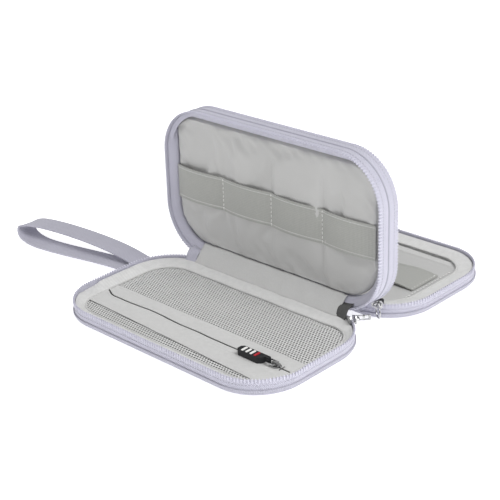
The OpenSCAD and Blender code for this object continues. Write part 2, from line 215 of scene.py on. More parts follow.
def build(name, points, faces, uvs, place=in_front, sharp=35):
    """A mesh from points in mm and faces with one (u, v) in mm for each corner."""
    mesh = bpy.data.meshes.new(name)
    mesh.from_pydata([Vector(place(p)) * MM for p in points], [], faces)
    layer = mesh.uv_layers.new(name="UVMap")
    flat = [value * MM for face_uv in uvs for corner in face_uv for value in corner]
    layer.data.foreach_set("uv", flat)
    tidy = bmesh.new()
    tidy.from_mesh(mesh)
    bmesh.ops.recalc_face_normals(tidy, faces=tidy.faces)
    tidy.to_mesh(mesh)
    tidy.free()
    mesh.polygons.foreach_set("use_smooth", [True] * len(mesh.polygons))
    mesh.set_sharp_from_angle(angle=math.radians(sharp))
    return new_object(name, mesh)


def lengths(points):
    total, out = 0.0, [0.0]
    for a, b in zip(points, points[1:]):
        total += math.dist(a, b)
        out.append(total)
    return out


def skin(rows, us, vs, ring=False, loop=False, caps=False, fill=False):
    """Points, faces and UVs of a grid of rows. ring closes each row, loop joins the last row to the first."""
    n, m = len(rows), len(rows[0])
    points = [p for row in rows for p in row]
    faces, uvs = [], []
    for i in range(n if loop else n - 1):
        for j in range(m if ring else m - 1):
            corners = ((i, j), (i + 1, j), (i + 1, j + 1), (i, j + 1))
            faces.append([(k % n) * m + l % m for k, l in corners])
            uvs.append([(us[k], vs[l]) for k, l in corners])
    if caps:
        for i in (0, n - 1):
            faces.append([i * m + j for j in range(m)])
            uvs.append([(us[i], vs[j]) for j in range(m)])
    if fill:
        faces.append([i * m + m - 1 for i in range(n)])
        uvs.append([rows[i][-1][:2] for i in range(n)])
    return points, faces, uvs


def flat_uvs(points, faces):
    """Each corner's own x and y."""
    return [[points[i][:2] for i in face] for face in faces]


def joined(parts):
    """Several (points, faces, uvs) as one."""
    points, faces, uvs = [], [], []
    for p, f, t in parts:
        base = len(points)
        points += p
        faces += [[base + i for i in face] for face in f]
        uvs += t
    return points, faces, uvs


def sweep(profile, span=None, step=2.0, closed=True):
    """A profile, (u, z) for each length s, swept along the outline or, with a span, along part of it."""
    low, high = span or (0, PERIMETER)
    stops = spread(low, high, step)
    rows = [[at_outline(s, u, z) for u, z in profile(s)] for s in (stops if span else stops[:-1])]
    first = profile(low)
    vs = lengths(first + first[:1]) if closed else lengths(first)
    return skin(rows, stops, vs, ring=closed, loop=span is None, caps=closed and span is not None)


def tube(path, radius, sides=6, closed=False):
    """A round wire or thread along a path in mm, with rounded ends where it is open."""
    path = [Vector(p) for p in path]
    count = len(path)
    rows = []
    normal = None
    for i, p in enumerate(path):
        before = path[(i - 1) % count] if closed else path[max(i - 1, 0)]
        after = path[(i + 1) % count] if closed else path[min(i + 1, count - 1)]
        tangent = (after - before).normalized()
        if normal is None:
            normal = tangent.orthogonal().normalized()
        normal = (normal - tangent * normal.dot(tangent)).normalized()
        side = tangent.cross(normal)
        scale = radius * (0.55 if not closed and i in (0, count - 1) else 1)
        rows.append([tuple(p + scale * (normal * math.cos(a) + side * math.sin(a))) for a in turns(sides)])
    us = lengths([tuple(p) for p in path + path[:1]])
    vs = [2 * math.pi * radius * k / sides for k in range(sides + 1)]
    return skin(rows, us, vs, ring=True, loop=closed, caps=not closed)


def prism(outline, z0, z1, turn=None, bevel=0.22):
    """A bevelled plate, as (points, faces, uvs). turn maps its own (x, y, z) to a panel's frame."""
    plate = bmesh.new()
    low, high = [[plate.verts.new((x, y, z)) for x, y in outline] for z in (z0, z1)]
    plate.faces.new(low[::-1])
    plate.faces.new(high)
    for side in zip(low, low[1:] + low[:1], high[1:] + high[:1], high):
        plate.faces.new(side)
    edges = [e for e in plate.edges if e.calc_face_angle(0) > math.radians(25)]
    offset = min(bevel, (z1 - z0) * 0.3)
    bmesh.ops.bevel(plate, geom=edges, offset=offset, segments=2, profile=0.5, affect="EDGES")
    plate.verts.index_update()
    points = [tuple(v.co) for v in plate.verts]
    faces = [[v.index for v in f.verts] for f in plate.faces]
    uvs = flat_uvs(points, faces)
    plate.free()
    if turn:
        points = [turn(p) for p in points]
    return points, faces, uvs


def rounded(x0, y0, x1, y1, r, steps=4):
    """Outline of a rectangle with round corners."""
    out = []
    left, right, low, high = x0 + r, x1 - r, y0 + r, y1 - r
    for cx, cy, start in ((right, high, 0), (left, high, 90), (left, low, 180), (right, low, 270)):
        for k in range(steps + 1):
            a = math.radians(start + 90 * k / steps)
            out.append((cx + r * math.cos(a), cy + r * math.sin(a)))
    return out


def rectangle(x0, y0, x1, y1):
    return [(x0, y0), (x1, y0), (x1, y1), (x0, y1)]


def thicken(piece, thickness, offset=0.0):
    """Gives a sheet its thickness: half on each side, or with offset 1 all inside a cover."""
    solid = piece.modifiers.new("thickness", "SOLIDIFY")
    solid.thickness = thickness * MM
    solid.offset = offset
    return piece


# ---- Materials ----

def srgb(r, g, b):
    """Linear colour from 0-255 display values."""
    return tuple(((v / 255 + 0.055) / 1.055) ** 2.4 for v in (r, g, b))


class Finish:
    """A material with short calls for the nodes that its pattern needs. Pattern lengths are in mm."""

    def __init__(self, name, roughness, **sockets):
        self.material = bpy.data.materials.new(name)
        self.material.use_nodes = True
        self.tree = self.material.node_tree
        self.shader = self.tree.nodes["Principled BSDF"]
        self.shader.inputs["Roughness"].default_value = roughness
        for socket, value in sockets.items():
            self.shader.inputs[socket.replace("_", " ")].default_value = value

    def node(self, kind, **settings):
        made = self.tree.nodes.new(kind)
        for key, value in settings.items():
            setattr(made, key, value)
        return made

    def link(self, value, socket):
        if isinstance(value, bpy.types.NodeSocket):
            self.tree.links.new(value, socket)
        else:
            socket.default_value = value

    def math(self, operation, *values):
        made = self.node("ShaderNodeMath", operation=operation)
        for value, socket in zip(values, made.inputs):
            self.link(value, socket)
        return made.outputs[0]

    def uv(self):
        """Lengths along and across the piece, in mm."""
        split = self.node("ShaderNodeSeparateXYZ")
        self.tree.links.new(self.node("ShaderNodeUVMap", uv_map="UVMap").outputs[0], split.inputs[0])
        return [self.math("MULTIPLY", split.outputs[i], 1 / MM) for i in (0, 1)]

    def ribs(self, along, pitch):
        """0 to 1 and back, once each pitch."""
        wave = self.math("SINE", self.math("MULTIPLY", along, 2 * math.pi / pitch))
        return self.math("MULTIPLY_ADD", wave, 0.5, 0.5)

    def grain(self, size):
        """Even noise with features of that size."""
        made = self.node("ShaderNodeTexNoise")
        self.link(self.node("ShaderNodeTexCoord").outputs["Object"], made.inputs["Vector"])
        made.inputs["Scale"].default_value = 1 / (size * MM)
        made.inputs["Detail"].default_value = 2
        return made.outputs[0]

    def blend(self, a, b, share):
        return self.math("ADD", self.math("MULTIPLY", a, 1 - share), self.math("MULTIPLY", b, share))

    def colour(self, dark, light, factor):
        mix = self.node("ShaderNodeMix", data_type="RGBA")
        self.link(factor, mix.inputs["Factor"])
        ends = [s for s in mix.inputs if s.type == "RGBA"]
        for socket, value in zip(ends, (dark, light)):
            socket.default_value = (*srgb(*value), 1)
        self.link([s for s in mix.outputs if s.type == "RGBA"][0], self.shader.inputs["Base Color"])

    def bump(self, height, depth):
        made = self.node("ShaderNodeBump")
        made.inputs["Distance"].default_value = depth * MM
        self.link(height, made.inputs["Height"])
        self.link(made.outputs[0], self.shader.inputs["Normal"])


def plain(size, wide=None, share=0.0):
    """Fine grain, with the grain of a wider size blended into its colour."""
    def pattern(f):
        fine = f.grain(size)
        return (f.blend(fine, f.grain(wide), share) if wide else fine), fine
    return pattern


def herringbone(f, pitch, band):
    """Fine ribs along the piece that change direction every band mm across it."""
    along, across = f.uv()
    return f.ribs(f.math("ADD", along, f.math("PINGPONG", across, band)), pitch)


def cover_weave(f):
    ribs = herringbone(f, 1.3, 2.2)
    return f.blend(f.blend(ribs, f.grain(0.8), 0.4), f.grain(18), 0.4), ribs


def tape_weave(f):
    ribs = herringbone(f, 1.15, 1.6)
    return f.blend(ribs, f.grain(1.1), 0.35), ribs


def twill(f):
    along, across = f.uv()
    ribs = f.ribs(f.math("ADD", along, f.math("MULTIPLY", across, 1.25)), 1.4)
    return f.blend(ribs, f.grain(4), 0.45), ribs


def crossed(across_pitch, along_pitch, along_share, grain, share):
    """Ribs both ways, with some grain in the colour."""
    def pattern(f):
        along, across = f.uv()
        weave = f.blend(f.ribs(across, across_pitch), f.ribs(along, along_pitch), along_share)
        return f.blend(weave, f.grain(grain), share), weave
    return pattern


def twisted(f):
    twist = f.ribs(f.math("ADD", *f.uv()), 0.7)
    return twist, twist


FINISHES = {}


def finish(name, roughness, dark, light, depth, pattern, **sockets):
    """A finish between two display colours, with a relief depth in mm."""
    f = Finish(name, roughness, **sockets)
    share, height = pattern(f)
    f.colour(dark, light, share)
    f.bump(height, depth)
    FINISHES[name] = f.material
    return f, share


SOFT = {"Sheen_Weight": 0.2, "Sheen_Roughness": 0.5}
PADDED = {"Sheen_Weight": 0.25, "Sheen_Roughness": 0.5}
RUBBER = {"Specular_IOR_Level": 0.4}
finish("cover_fabric", 0.82, (156, 155, 168), (190, 189, 202), 0.1, cover_weave, **PADDED)
finish("zip_tape", 0.78, (168, 167, 184), (214, 213, 226), 0.18, tape_weave,
       Sheen_Weight=0.3, Sheen_Roughness=0.45)
finish("zip_teeth", 0.38, (184, 183, 198), (216, 215, 228), 0.03, plain(1.6),
       Specular_IOR_Level=0.45, Coat_Weight=0.1)
finish("twill_lining", 0.8, (188, 188, 187), (238, 238, 237), 0.12, twill, **PADDED)
finish("smooth_lining", 0.72, (186, 186, 185), (210, 210, 209), 0.05, plain(0.9, 15, 0.5), **SOFT)
# Painted shade: a dark grey lining that stands in for the shade inside the mesh pocket and at the right-hand
# ends of the hinges.
finish("dark_lining", 0.85, (70, 70, 70), (98, 98, 97), 0.05, plain(1.2))
finish("mesh", 0.7, (206, 206, 205), (232, 232, 231), 0.08, plain(0.6, 12, 0.4), **SOFT)
finish("pocket_zip_tape", 0.75, (186, 186, 185), (214, 214, 213), 0.06,
       crossed(0.9, 0.8, 0.4, 2.5, 0.5), **SOFT)
finish("pocket_zip_coil", 0.4, (58, 58, 58), (92, 92, 92), 0.03, plain(1))
finish("satin", 0.46, (176, 176, 175), (196, 196, 195), 0.015, crossed(0.6, 0.45, 0.4, 22, 0.6),
       Sheen_Weight=0.35, Sheen_Roughness=0.35, Specular_IOR_Level=0.4)
finish("elastic", 0.78, (140, 141, 137), (182, 183, 179), 0.12, crossed(1.1, 0.9, 0.7, 1.2, 0.35), **SOFT)
finish("thread", 0.6, (212, 212, 210), (244, 244, 242), 0.05, twisted)
finish("black_rubber", 0.5, (18, 19, 22), (34, 35, 39), 0.03, plain(0.8), **RUBBER)
finish("white_rubber", 0.5, (228, 228, 226), (246, 246, 244), 0.03, plain(0.8), **RUBBER)
finish("red_rubber", 0.5, (168, 20, 34), (192, 30, 44), 0.03, plain(0.8), **RUBBER)


def metal():
    """Plated metal with smudges that are a little rougher."""
    f, smudge = finish("metal", 0.2, (128, 128, 130), (206, 206, 206), 0.01, plain(3), Metallic=1.0)
    f.link(f.math("MULTIPLY_ADD", smudge, 0.22, 0.1), f.shader.inputs["Roughness"])


metal()


def dress(piece, slot, body=None, *nodes):
    """Material of the slot's finish, body, and the CAD nodes that a piece stands for, which are hidden."""
    piece.data.materials.append(FINISHES[slot])
    if nodes:
        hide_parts(*nodes)
    if body:
        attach(piece, body)
    return piece


# ---- Camera, floor and light ----

def camera():
    azimuth, elevation, roll = math.radians(45.99), math.radians(24.42), math.radians(-3.4)
    turned = Matrix.Rotation(azimuth, 4, "Z") @ Matrix.Rotation(math.pi / 2 - elevation, 4, "X")
    turned = turned @ Matrix.Rotation(roll, 4, "Z")
    data = bpy.data.cameras.new("camera")
    data.sensor_width = 36
    data.lens = 94.53
    data.clip_end = 100
    made = new_object("camera", data)
    made.matrix_world = Matrix.Translation(Vector((521.9, -467.3, 366.6)) * MM) @ turned
    bpy.context.scene.camera = made


def area_light(name, place, aim, size, power):
    data = bpy.data.lights.new(name, "AREA")
    data.shape = "DISK"
    data.size = size
    data.energy = power
    lamp = new_object(name, data)
    lamp.location = place
    lamp.rotation_euler = (Vector(aim) - Vector(place)).to_track_quat("-Z", "Y").to_euler()


def studio():
    bpy.ops.mesh.primitive_plane_add(size=60, location=(0, 0, -0.0002))
    floor = bpy.context.object
    floor.name = "floor"
    paper = Finish("floor_paper", 0.9)
    paper.colour((252, 252, 252), (255, 255, 255), paper.grain(400))
    paper.shader.inputs["Emission Color"].default_value = (1, 1, 1, 1)
    paper.shader.inputs["Emission Strength"].default_value = 0.6
    floor.data.materials.append(paper.material)
    world = bpy.data.worlds.new("studio")
    world.use_nodes = True
    world.node_tree.nodes["Background"].inputs[0].default_value = (1, 1, 1, 1)
    world.node_tree.nodes["Background"].inputs[1].default_value = 0.55
    bpy.context.scene.world = world
    middle = (0, 0.05, 0.03)
    area_light("key", (1.3, 0.1, 1.8), middle, 1.3, 30)
    area_light("fill", (-0.9, -1.6, 1.1), middle, 1.6, 3)
    bpy.context.scene.view_settings.view_transform = "Standard"


camera()
studio()


# ---- Zip rims: tape, teeth and stitches, the same on all four rims ----

PULL_Y, PULL_HALF_W, PULL_SAG = SLOT_Y - 2, 6.5, 0.65


def pressed(s, u, side):
    """1 where the pocket's pull crosses the front shell's right (side 1) or left (side -1) wall, else 0."""
    x, y, nx, ny = station(s)
    if side * (x + u * nx) < 0:
        return 0.0
    return math.exp(-((y + u * ny - PULL_Y) / PULL_HALF_W) ** 4)


def rim_sag(s, body):
    """How far the front shell's rim gives way under the pull there."""
    return PULL_SAG * pressed(s, TAPE_IN, 1) if body == "front_shell" else 0.0


def rim_tape(name, place, rim, low, body, node):
    """The woven tape that carries the teeth. It bows out a little between its edges."""
    def profile(s):
        bow = 0.12 + 0.1 * ripple(s, 0, 17)
        top = rim - TAPE_DROP - rim_sag(s, body)
        return [
            (TAPE_IN, low), (TAPE_IN + bow, (low + top) / 2), (TAPE_IN, top - 0.3), (TAPE_IN + 0.2, top),
            (TAPE_OUT - 0.1, top), (TAPE_OUT, top - 0.3), (TAPE_OUT + bow, (low + top) / 2), (TAPE_OUT, low),
        ]
    dress(build(name, *sweep(profile, TAPE_SPAN), place), "zip_tape", body, node)


# One coil of the zip, from its foot outside the tape, over the tape's edge, to its foot inside:
# distance out from the tape's middle, drop below the rim, half width, half thickness
COIL = (
    (0.34, -3.0, 0.32, 0.14), (0.5, -2.7, 0.42, 0.2), (0.54, -2.0, 0.46, 0.26), (0.54, -1.2, 0.48, 0.28),
    (0.42, -0.55, 0.44, 0.3), (0.08, -0.25, 0.36, 0.28), (-0.28, -0.55, 0.38, 0.26), (-0.42, -1.3, 0.4, 0.24),
    (-0.36, -2.0, 0.38, 0.2), (-0.2, -2.5, 0.32, 0.14),
)


def tooth(s, rim):
    sides = 6
    rows = []
    for i, (out, drop, half_w, half_t) in enumerate(COIL):
        before, after = COIL[max(i - 1, 0)], COIL[min(i + 1, len(COIL) - 1)]
        du, dz = after[0] - before[0], after[1] - before[1]
        size = math.hypot(du, dz)
        nu, nz = dz / size, -du / size
        row = []
        for a in turns(sides, 0.5):
            along, off = half_w * math.cos(a), half_t * math.sin(a)
            row.append(at_outline(s + along, TAPE_IN + 0.3 + out + off * nu, rim + drop + off * nz))
        rows.append(row)
    spots = lengths([(c[0], c[1]) for c in COIL])
    return skin(rows, spots, list(range(sides + 1)), ring=True, caps=True)


def rim_teeth(name, place, rim, offset, body, node):
    """The row of coils. Rims that close on each other stand half a pitch apart."""
    low, high = TEETH_SPAN
    count = int((high - low) / PITCH) - 1
    spots = [low + PITCH * (k + offset) for k in range(count)]
    parts = [tooth(s, rim - rim_sag(s, body)) for s in spots]
    dress(build(name, *joined(parts), place, sharp=60), "zip_teeth", body, node)


def dashes(name, spots, place, body, radius=0.22, slot="thread", nodes=()):
    """A row of stitches. spots are the two ends of each."""
    parts = []
    for a, b in spots:
        path = [Vector(a).lerp(Vector(b), share) for share in (0, 0.25, 0.5, 0.75, 1)]
        parts.append(tube(path, radius))
    return dress(build(name, *joined(parts), place, sharp=60), slot, body, *nodes)


def rim_stitches(name, place, rim, body):
    low, high = TEETH_SPAN
    out, height, stitch = TAPE_OUT + 0.16, rim - 4.25, 1.25
    starts = spread(low + 1, high - 1, PITCH)[:-1]
    spots = [(at_outline(s, out, height), at_outline(s + stitch, out, height)) for s in starts]
    dashes(name, spots, place, body, 0.2, "cover_fabric")


# Each rim: name, body, place, height, the tape's depth below it, tooth offset in pitches, CAD node names
RIMS = (
    ("front_shell", "front_shell", in_front, RIM_Z, WALL_DROP + 1, 0, "front_shell_zip_{}"),
    ("back_shell", "back_shell", in_back, BACK_RIM_Z, WALL_DROP + 1, 0, "back_shell_zip_{}"),
    ("divider_front", "divider", in_divider, 0, DIVIDER_T / 2 - 0.2, 0.5, "divider_zip_{}_front"),
    ("divider_back", "divider", in_divider_back, 0, DIVIDER_T / 2 - 0.2, 0.5, "divider_zip_{}_back"),
)


def zip_rims():
    for name, body, place, rim, depth, offset, node in RIMS:
        rim_tape(name + "_tape", place, rim, rim - depth, body, node.format("tape"))
        rim_teeth(name + "_teeth", place, rim, offset, body, node.format("teeth"))
        rim_stitches(name + "_tape_stitches", place, rim, body)


# ---- Shells ----

def near_hinge(s):
    """1 along the hinge, 0 where the zip runs, with a short ramp between."""
    away = min(s % PERIMETER, PERIMETER - s % PERIMETER)
    return 1 - smooth((away - HINGE_HALF + 2) / 3)


def shell_cover(body, place, rim):
    """Moulded outer cover: flat base, rounded edge, low wall with a folded top."""
    def profile(s):
        top = rim - WALL_DROP + (WALL_DROP - 0.6) * near_hinge(s)
        swell = 0.3 + 0.08 * ripple(s, 3, 30)
        wall = [
            (R - 1.0, top - 1.4), (R - 0.95, top - 0.4), (R - 0.55, top), (R - 0.12, top - 0.3),
            (R + swell, top - 1.1), (R + swell, (top + EDGE_R) / 2), (R, EDGE_R),
        ]
        bend = [math.radians(a) for a in range(15, 91, 15)]
        edge = [(R - EDGE_R + EDGE_R * math.cos(a), EDGE_R - EDGE_R * math.sin(a)) for a in bend]
        return wall + edge + [(26, 0)]
    stops = spread(0, PERIMETER, 2)
    rows = [[at_outline(s, u, z) for u, z in profile(s)] for s in stops[:-1]]
    tray = skin(rows, stops, lengths(profile(200)), loop=True, fill=True)
    made = thicken(build(body + "_cover_skin", *tray, place), 0.6, 1)
    dress(made, "cover_fabric", body, body + "_cover", body + "_board")


def front_lip(s):
    """Inner edge of the side band: wide along the hinge and the left, narrow at the front and the right."""
    nx, ny = station(s)[2:]
    return LIP_U + 6.5 * smooth(nx) + 5.0 * smooth(-ny) * (1 - smooth(nx))


def back_lip(_):
    return LIP_U + 0.6


def band_dip(s, body):
    """The front shell's band lies flat where the pocket's pull ends up when the pocket is shut."""
    return pressed(s, 25, -1) if body == "front_shell" else 0.0


def side_band(body, place, rim, lip):
    """Padded twill band that slopes from the zip tape down to the pocket."""
    top = rim - 4

    def profile(s):
        free = 1 - band_dip(s, body)
        inner = lip(s) + 0.35 * ripple(s, 0, 22)
        wave = 0.45 * ripple(s, 7, 13) * free
        face_z = POCKET_Z + 0.15
        middle_z = (top + face_z) / 2 - 0.2 + 0.2 * free
        across = TAPE_IN - inner
        return [
            (TAPE_IN - 0.1, top - 0.2 + 0.8 * free), (TAPE_IN - 0.7, top - 0.2 + 1.7 * free),
            (TAPE_IN - 1.7, top - 0.25 + 1.75 * free + 0.3 * wave),
            (inner + across * 0.62, middle_z + 1.15 * free + wave),
            (inner + across * 0.4, middle_z + 0.75 * free + wave),
            (inner + across * 0.2, face_z + 0.65 * free + 0.5 * wave), (inner + 0.5, face_z + 0.25 * free),
            (inner - 0.1, face_z - 0.2), (inner, face_z - 0.9), (inner + 0.3, FLOOR_Z + 0.1),
            (TAPE_IN - 0.1, FLOOR_Z + 0.1),
        ]
    made = build(body + "_band", *sweep(profile), place, sharp=50)
    dress(made, "twill_lining", body, body + "_side_band")


def band_piping(body, place, lip, height):
    """The folded edge of the side band."""
    path = []
    for s in spread(0, PERIMETER, 2.5)[:-1]:
        path.append(at_outline(s, lip(s) + 0.35 * ripple(s, 0, 22) + 0.1, height - 0.4 * band_dip(s, body)))
    made = build(body + "_piping", *tube(path, 0.5, 8, closed=True), place)
    dress(made, "smooth_lining", body)


def panel_edge(u):
    """Half depth of a round-cornered panel at x, for the corner radius u."""
    def half(x):
        over = abs(x) - ARC_X
        if over <= 0:
            return ARC_Y + u
        return ARC_Y + math.sqrt(max(0.0, u * u - over * over))
    return half


def panel(xs, y_from, y_to, rows, height):
    """A flat piece between two edges, with height(x, y). Its UVs are its own x and y."""
    points = []
    for x in xs:
        low, high = y_from(x), y_to(x)
        ys = [low + (high - low) * t for t in rows]
        points += [(x, y, height(x, y)) for y in ys]
    m = len(rows)
    corners = [i * m + j for i in range(len(xs) - 1) for j in range(m - 1)]
    faces = [[k, k + m, k + m + 1, k + 1] for k in corners]
    return points, faces, flat_uvs(points, faces)


def panel_stops(u, first, inset, step):
    """Stops along x for a round-cornered panel with one more, first mm in, at each end."""
    end = ARC_X + u
    return [first - end] + spread(inset - end, end - inset, step) + [end - first]


def shell_floor(body, place, slot):
    """The lining at the bottom of a shell."""
    u = 22
    half = panel_edge(u)
    xs = panel_stops(u, 0.05, 0.6, 3)

    def height(x, y):
        return FLOOR_Z + 0.05 + 0.12 * ripple(x, y, 16)
    flat = panel(xs, lambda x: -half(x), half, spread(0, 1, 1 / 26), height)
    made = dress(thicken(build(body + "_floor", *flat, place), 0.5), slot, body, body + "_lining")


# ---- Mesh pocket ----

TAPE_REAR_Y = SLOT_Y + 12
POCKET_END = ARC_X + 26
TUCK_U = 29  # how far out the pocket's front corners reach, under the side band


def slot_line(x):
    """The slot between the two halves of the pocket's zip, which bends back at its left-hand end."""
    slack = 1.3 * math.exp(-((x + 31) / 15) ** 2) - 0.3 * smooth((x - 5) / 20) * smooth((66 - x) / 10)
    return SLOT_Y + slack + 4.6 * smooth((-65 - x) / 14) ** 1.4


def front_edge_line(x):
    """Front edge of the pocket's zip tape."""
    return -34.4 - 0.045 * x


def pocket_height(x, y):
    """The pocket's face: slightly slack, lower near the back corners."""
    sag = 0.5 * smooth((y - 26) / 12) + 0.35 * smooth((abs(x) - 60) / 20)
    return POCKET_Z - sag + 0.3 * ripple(x, y, 21, 3) + 0.12 * ripple(x, y, 8, 5)


def net(name, inside, node):
    """Knitted net: a honeycomb of cells, each with a real hole."""
    cell, hole = 2.0, 0.8
    corner = cell / math.sqrt(3)
    row_step = cell * math.sqrt(3) / 2
    index, points, faces = {}, [], []

    def outer(x, y):
        key = (round(x * 20), round(y * 20))
        if key not in index:
            index[key] = len(points)
            points.append((x, y, pocket_height(x, y)))
        return index[key]

    for row in range(-28, 28):
        for column in range(-46, 47):
            x = cell * (column + 0.5 * (row % 2))
            y = row_step * row
            if not inside(x, y):
                continue
            ring = turns(6, 0.5)
            rim = [outer(x + corner * math.cos(a), y + corner * math.sin(a)) for a in ring]
            first = len(points)
            for a in ring:
                hx, hy = x + hole * math.cos(a), y + hole * 0.92 * math.sin(a)
                points.append((hx, hy, pocket_height(hx, hy) + 0.05))
            for k in range(6):
                n = (k + 1) % 6
                faces.append([rim[k], rim[n], first + n, first + k])
    made = build(name, points, faces, flat_uvs(points, faces))
    return dress(thicken(made, 0.26), "mesh", "front_shell", node)


def mesh_pocket():
    back_half = panel_edge(LIP_U + 1.5)
    side_half = panel_edge(TUCK_U)
    left_u, right_u, front_left = 21, 28, -76

    def behind(x, y):
        bound = back_half(x) if x < ARC_X else side_half(x)
        return TAPE_REAR_Y - 1.2 < y < bound and abs(x) < ARC_X + (left_u if x < 0 else right_u)

    def before(x, y):
        return front_edge_line(x) + 1.5 > y > -side_half(x) and x > front_left

    panel_net = net("pocket_net", behind, "mesh_panel")
    strip_net = net("pocket_net_front", before, "mesh_front_strip")

    xs = spread(-ARC_X - LIP_U - 1, POCKET_END, 2)
    rear_rows = [0, 0.04, 0.09, 0.15] + spread(0.25, 0.8, 0.11) + [0.86, 0.91, 0.96, 1]
    front_rows = [0, 0.03, 0.06, 0.1, 0.2, 0.35, 0.5, 0.64, 0.72, 0.76, 0.8, 0.86, 0.9, 0.94, 0.97, 1]

    def rear_height(x, y):
        hem = 0.4 * smooth((y - TAPE_REAR_Y + 1.6) / 0.4)
        lip = 0.35 * smooth((slot_line(x) + 2.2 - y) / 0.8)
        return pocket_height(x, y) + 0.3 + hem + lip

    def front_height(x, y):
        hem = 0.45 * smooth((front_edge_line(x) + 1.6 - y) / 0.4)
        lip = 0.3 * smooth((y - slot_line(x) + 2.2) / 0.8)
        pleat = 0.35 * math.exp(-((y - slot_line(x) + 4.6) / 0.5) ** 2) * smooth((x + 10) / 40)
        return pocket_height(x, y) + 0.3 + hem + lip + pleat

    def front_low(x):
        return max(front_edge_line(x), -side_half(x))
    half_gap = 0.55
    rear = panel(xs, lambda x: slot_line(x) + half_gap, lambda x: TAPE_REAR_Y, rear_rows, rear_height)
    front = panel(xs, front_low, lambda x: slot_line(x) - half_gap, front_rows, front_height)
    rear, front = [
        dress(thicken(build(node + "_half", *flat), 0.5), "pocket_zip_tape", "front_shell", node)
        for node, flat in (("pocket_tape_rear", rear), ("pocket_tape_front", front))
    ]


def pocket_coils():
    """The pocket zip's two rows of small coils, under the edges of the slot."""
    loop = ((2.1, 0), (1.5, 0.18), (0.9, 0.2), (0.35, 0.05), (0.15, -0.2))
    for side, node in ((1, "pocket_coil_rear"), (-1, "pocket_coil_front")):
        parts = []
        for k in range(-48, 49):
            x = 1.5 * k + 0.75 * (side > 0)
            y = slot_line(x)
            z = pocket_height(x, y) - 0.75
            parts.append(tube([(x, y + side * out, z + up) for out, up in loop], 0.36, 6))
        made = build(node.replace("coil", "coils"), *joined(parts), sharp=60)
        dress(made, "pocket_zip_coil", "front_shell", node)


def box_plate(name, node, slot, r):
    """A plate of the front shell that fills its CAD node's box, with corners of radius r."""
    low, high = box(node)
    plate = prism(rounded(*low[:2], *high[:2], r), low[2], high[2])
    dress(build(name, *plate), slot, "front_shell", node)


def pocket_pull():
    x, y, z = joint_point("pocket_pull_flip")

    def shift(p):
        return (x + p[0], y + p[1], p[2])
    plate = [(-3.8, -1.7), (-3, -2.7), (0.8, -2.7), (3, -1.6), (3, 1.6), (0.8, 2.7), (-3, 2.7), (-3.8, 1.7)]
    bridge = ((-2.6, -0.9), (-2.3, 0.3), (-1.2, 0.95), (1.2, 0.95), (2.3, 0.3), (2.6, -0.9))
    slider = joined([
        prism(plate, z - 1.5, z - 0.7, shift),
        prism(plate, z - 4.2, z - 3.5, shift),
        prism(rectangle(-3.2, -0.4, -1.8, 0.4), z - 3.8, z - 1.3, shift),
        tube([(x + along, y, z + up) for along, up in bridge], 0.6, 8),
    ])
    dress(build("pocket_slider_body", *slider), "metal", "pocket_slider", "pocket_slider")
    half, reach = 2.4, 6.4
    corners = ((x, y - half), (x - reach, y - half), (x - reach, y + half), (x, y + half))
    ring = [Vector((*p, z)) for p in corners]
    path = []
    for k, p in enumerate(ring):
        a, b = (ring[k - 1] - p).normalized(), (ring[(k + 1) % 4] - p).normalized()
        for back, ahead in ((0.9, 0.08), (0.42, 0.12), (0.12, 0.42), (0.08, 0.9)):
            path.append(tuple(p + a * back + b * ahead))
    wire = build("pocket_pull_wire", *tube(path, 0.5, 8, closed=True))
    dress(wire, "metal", "pocket_pull", "pocket_pull_ring")
    rubber_tab(y)


def rubber_tab(pivot_y):
    """Thick black rubber grip with cut corners, a neck for the ring, three white ribs and a red one."""
    low, high = box("pocket_pull_tab")
    x0, x1, y0, y1 = low[0], high[0], low[1], pivot_y + 1
    shape = [
        (x1, pivot_y - 1.2), (x1, pivot_y + 1), (x1 - 4.2, y1), (x0 + 1.6, y1), (x0, y1 - 1.6),
        (x0, y0 + 1.6), (x0 + 1.6, y0), (x1 - 5.4, y0), (x1 - 3.8, y0 + 1.6), (x1 - 2.6, pivot_y - 1.2),
    ]
    grip = build("pocket_pull_grip", *prism(shape, low[2], high[2], bevel=0.6))
    dress(grip, "black_rubber", "pocket_pull", "pocket_pull_tab")
    for node, name, slot, count in (
        ("pocket_pull_ribs", "pocket_pull_ribs_white", "white_rubber", 3),
        ("pocket_pull_red_rib", "pocket_pull_rib_red", "red_rubber", 1),
    ):
        lows, highs = box(node)
        width = 1.5
        step = (highs[0] - lows[0] - width) / max(1, count - 1)
        parts = []
        for k in range(count):
            left = lows[0] + k * step
            shape = rounded(left, lows[1], left + width, highs[1], 0.5)
            parts.append(prism(shape, lows[2] - 0.25, highs[2]))
        dress(build(name, *joined(parts)), slot, "pocket_pull", node)


# ---- Divider ----

PAD_R = 25
PAD_X, PAD_Y = ARC_X + PAD_R, ARC_Y + PAD_R
CUT_X, CUT_Y = 9, 7
PAD_FACE, PAD_SIDE = 7.0, 8.9
ELASTIC_V, ELASTIC_W = 46.5, 22
ELASTIC_LOW, ELASTIC_HIGH = HINGE_Y - ELASTIC_V - ELASTIC_W / 2, HINGE_Y - ELASTIC_V + ELASTIC_W / 2
STITCH_X = (-41.3, 0.5, 42.2)


def pad_top(x):
    """Upper edge of the divider's pad, whose corners are cut straight there."""
    return -PAD_Y + max(0.0, abs(x) - (PAD_X - CUT_X)) * CUT_Y / CUT_X


def pad_inset(x, y):
    """Distance in from the pad's edge."""
    across, along = PAD_X - abs(x), PAD_Y - abs(y)
    if y < 0:
        cut = (across / CUT_X + along / CUT_Y - 1) / math.hypot(1 / CUT_X, 1 / CUT_Y)
        return max(0.0, min(across, along, cut))
    if across < PAD_R and along < PAD_R:
        return max(0.0, PAD_R - math.hypot(PAD_R - across, PAD_R - along))
    return max(0.0, min(across, along))


